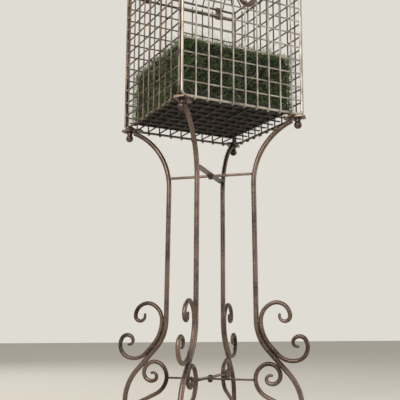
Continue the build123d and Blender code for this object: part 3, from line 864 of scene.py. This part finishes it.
class PLANTER_OT_roof(bpy.types.Operator):
    """Makes the hinged roof with its rim, hips, wires, cap, finial and hanging ring."""

    bl_idname = "planter.roof"
    bl_label = "Roof"

    def execute(self, context):
        cage, roof = context.scene.planter_cage, context.scene.planter_roof
        rim_z = cage.floor_z + cage.height + roof.lift
        top_z = rim_z + roof.rise
        rim = [[(x * cage.half, y * cage.half, rim_z) for x, y in ((-1, -1), (1, -1), (1, 1), (-1, 1))]]
        rim_rod = rods("roof_rim", rim, cage.rod, closed=True)
        seat(rim_rod, WIRE_FINISH, "lid", ["roof_frame"])
        hips = []
        for x in (-1, 1):
            for y in (-1, 1):
                low = Vector((x * cage.half, y * cage.half, rim_z))
                high = Vector((x * roof.top_half, y * roof.top_half, top_z))
                hips.append([low.lerp(high, HIP_FROM), low.lerp(high, HIP_TO)])
        seat(rods("roof_hips", hips, cage.rod), WIRE_FINISH, "lid")
        run = cage.half - roof.top_half
        length = math.hypot(run, roof.rise)
        along = Vector((-run / length, roof.rise / length))
        square = Vector((along.y, -along.x))
        layer = (cage.rod + cage.wire) / 2 + ROOF_LAYER_GAP
        for wall, turn in WALL_TURNS.items():
            wires = []
            for column in column_places(cage):
                top = min((cage.half - abs(column)) / run, 1) * length - HIP_GAP
                ends = [along * s + square * layer for s in (-ROOF_WIRE_FOOT, top)]
                wires.append([on_wall(cage, turn, column, p.x, p.y + cage.height + roof.lift) for p in ends])
            for row in range(1, roof.rows + 1):
                up = row * length / (roof.rows + 1)
                half = cage.half - run * up / length - HIP_GAP
                p = along * up + square * (layer - cage.wire)
                level = p.y + cage.height + roof.lift
                wires.append([on_wall(cage, turn, side * half, p.x, level) for side in (-1, 1)])
            sloped = rods(f"roof_side_{wall}", wires, cage.wire, resolution=2)
            seat(sloped, WIRE_FINISH, "lid", [f"roof_wires_{wall}"])
        for node in ("roof_cap", "hinge_left", "hinge_right"):
            dress_node(node, STAND_FINISH)
        low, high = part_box("finial")
        outline = list(FINIAL_FOOT)
        for turn in range(150, 20, -10):
            across = FINIAL_BALL * math.sin(math.radians(turn))
            outline.append((across, FINIAL_BALL_MIDDLE - FINIAL_BALL * math.cos(math.radians(turn))))
        outline += [FINIAL_NECK, (FINIAL_TIP, high.z - low.z), (0, high.z - low.z)]
        knob = turned("turned_finial", outline, [(0, 0, low.z)])
        seat(knob, STAND_FINISH, "lid", ["finial"])
        low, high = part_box("top_ring")
        middle = (low.z + high.z) / 2
        radius = (high.z - low.z) / 2 - HANGING_ROD / 2
        loop = [ring_point(0, middle, radius, turn) for turn in range(0, 360, 8)]
        ring = rods("hanging_ring", [loop], HANGING_ROD, closed=True)
        seat(ring, STAND_FINISH, "lid", ["top_ring"])
        return {"FINISHED"}


def ring_point(y, middle_z, radius, turn):
    """A point of an upright ring that faces front."""
    return (radius * math.cos(math.radians(turn)), y, middle_z + radius * math.sin(math.radians(turn)))


class PLANTER_OT_ring_pull(bpy.types.Operator):
    """Makes the two-turn ring pull and finishes its strap."""

    bl_idname = "planter.ring_pull"
    bl_label = "Ring pull"

    def execute(self, context):
        dress_node("pull_strap", STAND_FINISH)
        low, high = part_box("ring_pull")
        middle = (low.z + high.z) / 2
        outer = (high.z - low.z) / 2 - PULL_WIRE / 2
        y = (low.y + high.y) / 2
        inner = outer - PULL_WIRE + PULL_PRESS
        full = [ring_point(y, middle, outer, turn) for turn in range(0, 360, 6)]
        inner_end = PULL_INNER_START + PULL_INNER_SWEEP
        part = [ring_point(y, middle, inner, turn) for turn in range(PULL_INNER_START, inner_end, 6)]
        turns = rods("ring_pull_outer_turn", [full], PULL_WIRE, closed=True, resolution=4)
        seat(turns, STAND_FINISH, "ring_pull", ["ring_pull"])
        second = rods("ring_pull_inner_turn", [part], PULL_WIRE, resolution=4)
        seat(second, STAND_FINISH, "ring_pull")
        return {"FINISHED"}


class PLANTER_OT_planting(bpy.types.Operator):
    """Packs the liner with moss and sets its stems."""

    bl_idname = "planter.planting"
    bl_label = "Planting"

    def execute(self, context):
        planting = context.scene.planter_planting
        dress_node("liner_tray", LINER_FINISH)
        dress_node("soil_block", SOIL_FINISH)
        low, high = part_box("moss_block")
        low.z += planting.bed_lift
        high.z += planting.crown_lift
        middle = (low + high) / 2
        half = (high - low) / 2 + Vector((planting.overhang, planting.overhang, 0))
        form = bmesh.new()
        bmesh.ops.create_cube(form, size=2)
        bmesh.ops.subdivide_edges(form, edges=form.edges[:], cuts=MOSS_CUTS, use_grid_fill=True)
        flat = [half[i] - planting.round for i in range(3)]
        for vertex in form.verts:
            spot = Vector((vertex.co.x * half.x, vertex.co.y * half.y, vertex.co.z * half.z))
            core = Vector([max(-flat[i], min(flat[i], spot[i])) for i in range(3)])
            away = spot - core
            if away.length:
                spot = core + away.normalized() * min(away.length, planting.round)
            vertex.co = middle + spot + spot.normalized() * moss_lump(spot)
        mesh = bpy.data.meshes.new("moss_body")
        form.to_mesh(mesh)
        form.free()
        body = mesh_piece("moss_body", mesh, 180)
        seat(body, MOSS_FINISH, "base", ["moss_block"])
        stems = moss_stem_mesh(planting, middle, half)
        seat(mesh_piece("moss_stems", stems, 180), STEM_FINISH, "base")
        strand = [Vector(spot) for spot in DRY_STEM]
        fine = []
        for low_end, high_end in zip(strand, strand[1:]):
            fine += [low_end.lerp(high_end, i / 4) for i in range(4)]
        noise.seed_set(planting.seed)
        wavy = [spot + DRY_STEM_WAVE * noise.noise_vector(spot * 90) for spot in fine]
        seat(rods("stray_stem", [wavy], DRY_STEM_ROD, resolution=1), STEM_FINISH, "base")
        return {"FINISHED"}


def moss_lump(spot):
    """How far the moss lies in from or out of its block at a place."""
    lump = noise.fractal(spot * 55, 0.8, 2.1, 4) * 0.007 + noise.noise(spot * 16) * 0.005
    return max(-LUMP_IN, min(LUMP_OUT, lump - LUMP_OUT))


def moss_stem_mesh(planting, middle, half):
    """Fine curled stems over the moss, as narrow blades that stay inside the walls."""
    random.seed(planting.seed)
    sides = ["top"] + list(WALL_TURNS)
    vertices, faces = [], []
    limit = half.x + planting.outreach
    for _ in range(planting.fibres):
        side_name = random.choices(sides, SIDE_SHARES)[0]
        across, up = random.uniform(-0.98, 0.98), random.uniform(-0.95, 0.97)
        if side_name == "top":
            normal = Vector((0, 0, 1))
            root = Vector((across * half.x, random.uniform(-0.98, 0.98) * half.y, half.z))
            outward = max(abs(root.x), abs(root.y)) / half.x
            root.z -= max(0.0, outward - ROUNDING_FROM) * ROUNDING_FALL
        else:
            turn = math.radians(WALL_TURNS[side_name])
            normal = Vector((math.cos(turn), math.sin(turn), 0))
            sideways = Vector((-normal.y, normal.x, 0)) * across * half.x
            root = normal * half.x + sideways + Vector((0, 0, up * half.z))
        root += normal * (moss_lump(root) - LUMP_OUT)
        tuft = noise.noise(root * 38 + Vector((3, 5, 7)))
        length = planting.fibre_length * random.lognormvariate(0, 0.45) * (1 + 0.7 * tuft)
        upright = side_name == "top" and random.random() < 0.10 + 0.25 * max(0.0, tuft)
        length = min(length * (1.9 if upright else 1), LONGEST_STEM)
        lean = Vector((random.gauss(0, 0.7), random.gauss(0, 0.7), random.gauss(0.2, 0.6)))
        heading = (normal * (1.5 if upright else 0.35) + lean).normalized()
        curl = Vector((random.gauss(0, 1), random.gauss(0, 1), random.gauss(-0.3, 1))).normalized()
        width = random.uniform(0.00025, 0.00055)
        spine = [root]
        twist = random.uniform(0.15, 0.7)
        for _ in range(STEM_PIECES):
            spine.append(spine[-1] + heading * length / STEM_PIECES)
            heading = (heading + curl * twist).normalized()
        broad = heading.cross(Vector((random.random(), random.random(), random.random()))).normalized()
        first = len(vertices)
        for index, spot in enumerate(spine):
            spread = broad * width * (1 - 0.75 * index / STEM_PIECES)
            x = max(-limit, min(limit, spot.x))
            y = max(-limit, min(limit, spot.y))
            spot = Vector((x, y, max(-half.z, spot.z)))
            vertices += [middle + spot - spread, middle + spot + spread]
        for low in range(first, first + 2 * STEM_PIECES, 2):
            faces.append((low, low + 1, low + 3, low + 2))
    mesh = bpy.data.meshes.new("moss_stems")
    mesh.from_pydata([tuple(v) for v in vertices], [], faces)
    mesh.update()
    return mesh


class PLANTER_OT_stage(bpy.types.Operator):
    """Sets the pale floor, the soft lights and the camera."""

    bl_idname = "planter.stage"
    bl_label = "Stage"

    def execute(self, context):
        bpy.ops.mesh.primitive_plane_add(size=14, location=(0, 0, 0))
        floor = context.object
        floor.name = "studio_floor"
        material, tree, output = new_material("matt studio floor")
        colour = to_linear(context.scene.planter_finishes.floor)
        diffuse = add_node(tree, "ShaderNodeBsdfDiffuse", {"Color": colour})
        tree.links.new(diffuse.outputs[0], output.inputs["Surface"])
        floor.data.materials.append(material)
        world = bpy.data.worlds.new("soft studio")
        context.scene.world = world
        world.use_nodes = True
        tree = world.node_tree
        tree.nodes.clear()
        rays = add_node(tree, "ShaderNodeLightPath").outputs["Is Camera Ray"]
        room = {"Color": to_linear(ROOM_LIGHT), "Strength": ROOM_STRENGTH}
        lamp = add_node(tree, "ShaderNodeBackground", room)
        backdrop = add_node(tree, "ShaderNodeBackground", {"Color": to_linear(BACKDROP), "Strength": 1.0})
        mixed = add_node(tree, "ShaderNodeMixShader", {0: rays, 1: lamp.outputs[0], 2: backdrop.outputs[0]})
        add_node(tree, "ShaderNodeOutputWorld", {"Surface": mixed.outputs[0]})
        middle = Vector(LIT_POINT)
        for name, (place, size, power, colour) in LAMPS.items():
            light = bpy.data.lights.new(name, "AREA")
            light.size = size
            light.energy = power
            light.color = to_linear(colour)[:3]
            holder = bpy.data.objects.new(name, light)
            holder.location = place
            holder.rotation_euler = (middle - Vector(place)).to_track_quat("-Z", "Y").to_euler()
            context.scene.collection.objects.link(holder)
        camera = bpy.data.cameras.new("camera")
        camera.lens = CAMERA_LENS
        camera.sensor_width = CAMERA_SENSOR
        holder = bpy.data.objects.new("camera", camera)
        forward = Vector(CAMERA_FORWARD)
        roll = Matrix.Rotation(math.radians(CAMERA_ROLL), 3, "Z")
        holder.rotation_euler = (forward.to_track_quat("-Z", "Y").to_matrix() @ roll).to_euler()
        holder.location = CAMERA_PLACE
        context.scene.collection.objects.link(holder)
        context.scene.camera = holder
        context.scene.view_settings.view_transform = "Standard"
        return {"FINISHED"}


class PLANTER_PT_panel(bpy.types.Panel):
    """Lists the planter's pieces and sizes."""

    bl_label = "Birdcage planter"
    bl_idname = "PLANTER_PT_panel"
    bl_space_type = "VIEW_3D"
    bl_region_type = "UI"
    bl_category = "Planter"

    def draw(self, context):
        for operator in OPERATORS:
            self.layout.operator(operator.bl_idname)
        for group in GROUPS:
            sizes = getattr(context.scene, group)
            box = self.layout.box()
            for name in sizes.__annotations__:
                box.prop(sizes, name)


OPERATORS = (
    PLANTER_OT_stage,
    PLANTER_OT_stand,
    PLANTER_OT_fittings,
    PLANTER_OT_walls,
    PLANTER_OT_roof,
    PLANTER_OT_ring_pull,
    PLANTER_OT_planting,
)
GROUPS = {
    "planter_cage": CageSizes,
    "planter_roof": RoofSizes,
    "planter_stand": StandSizes,
    "planter_planting": PlantingSizes,
    "planter_finishes": Finishes,
}


def register():
    """Adds the classes and their settings."""
    for name, group in GROUPS.items():
        bpy.utils.register_class(group)
        setattr(bpy.types.Scene, name, bpy.props.PointerProperty(type=group))
    for made in (*OPERATORS, PLANTER_PT_panel):
        bpy.utils.register_class(made)


def unregister():
    """Takes the classes and their settings away again."""
    for made in (*OPERATORS, PLANTER_PT_panel):
        bpy.utils.unregister_class(made)
    for name, group in GROUPS.items():
        delattr(bpy.types.Scene, name)
        bpy.utils.unregister_class(group)


def main():
    """Makes every piece."""
    register()
    bpy.ops.planter.stage()
    bpy.ops.planter.stand()
    bpy.ops.planter.fittings()
    bpy.ops.planter.walls()
    bpy.ops.planter.roof()
    bpy.ops.planter.ring_pull()
    bpy.ops.planter.planting()


if __name__ == "__main__":
    main()
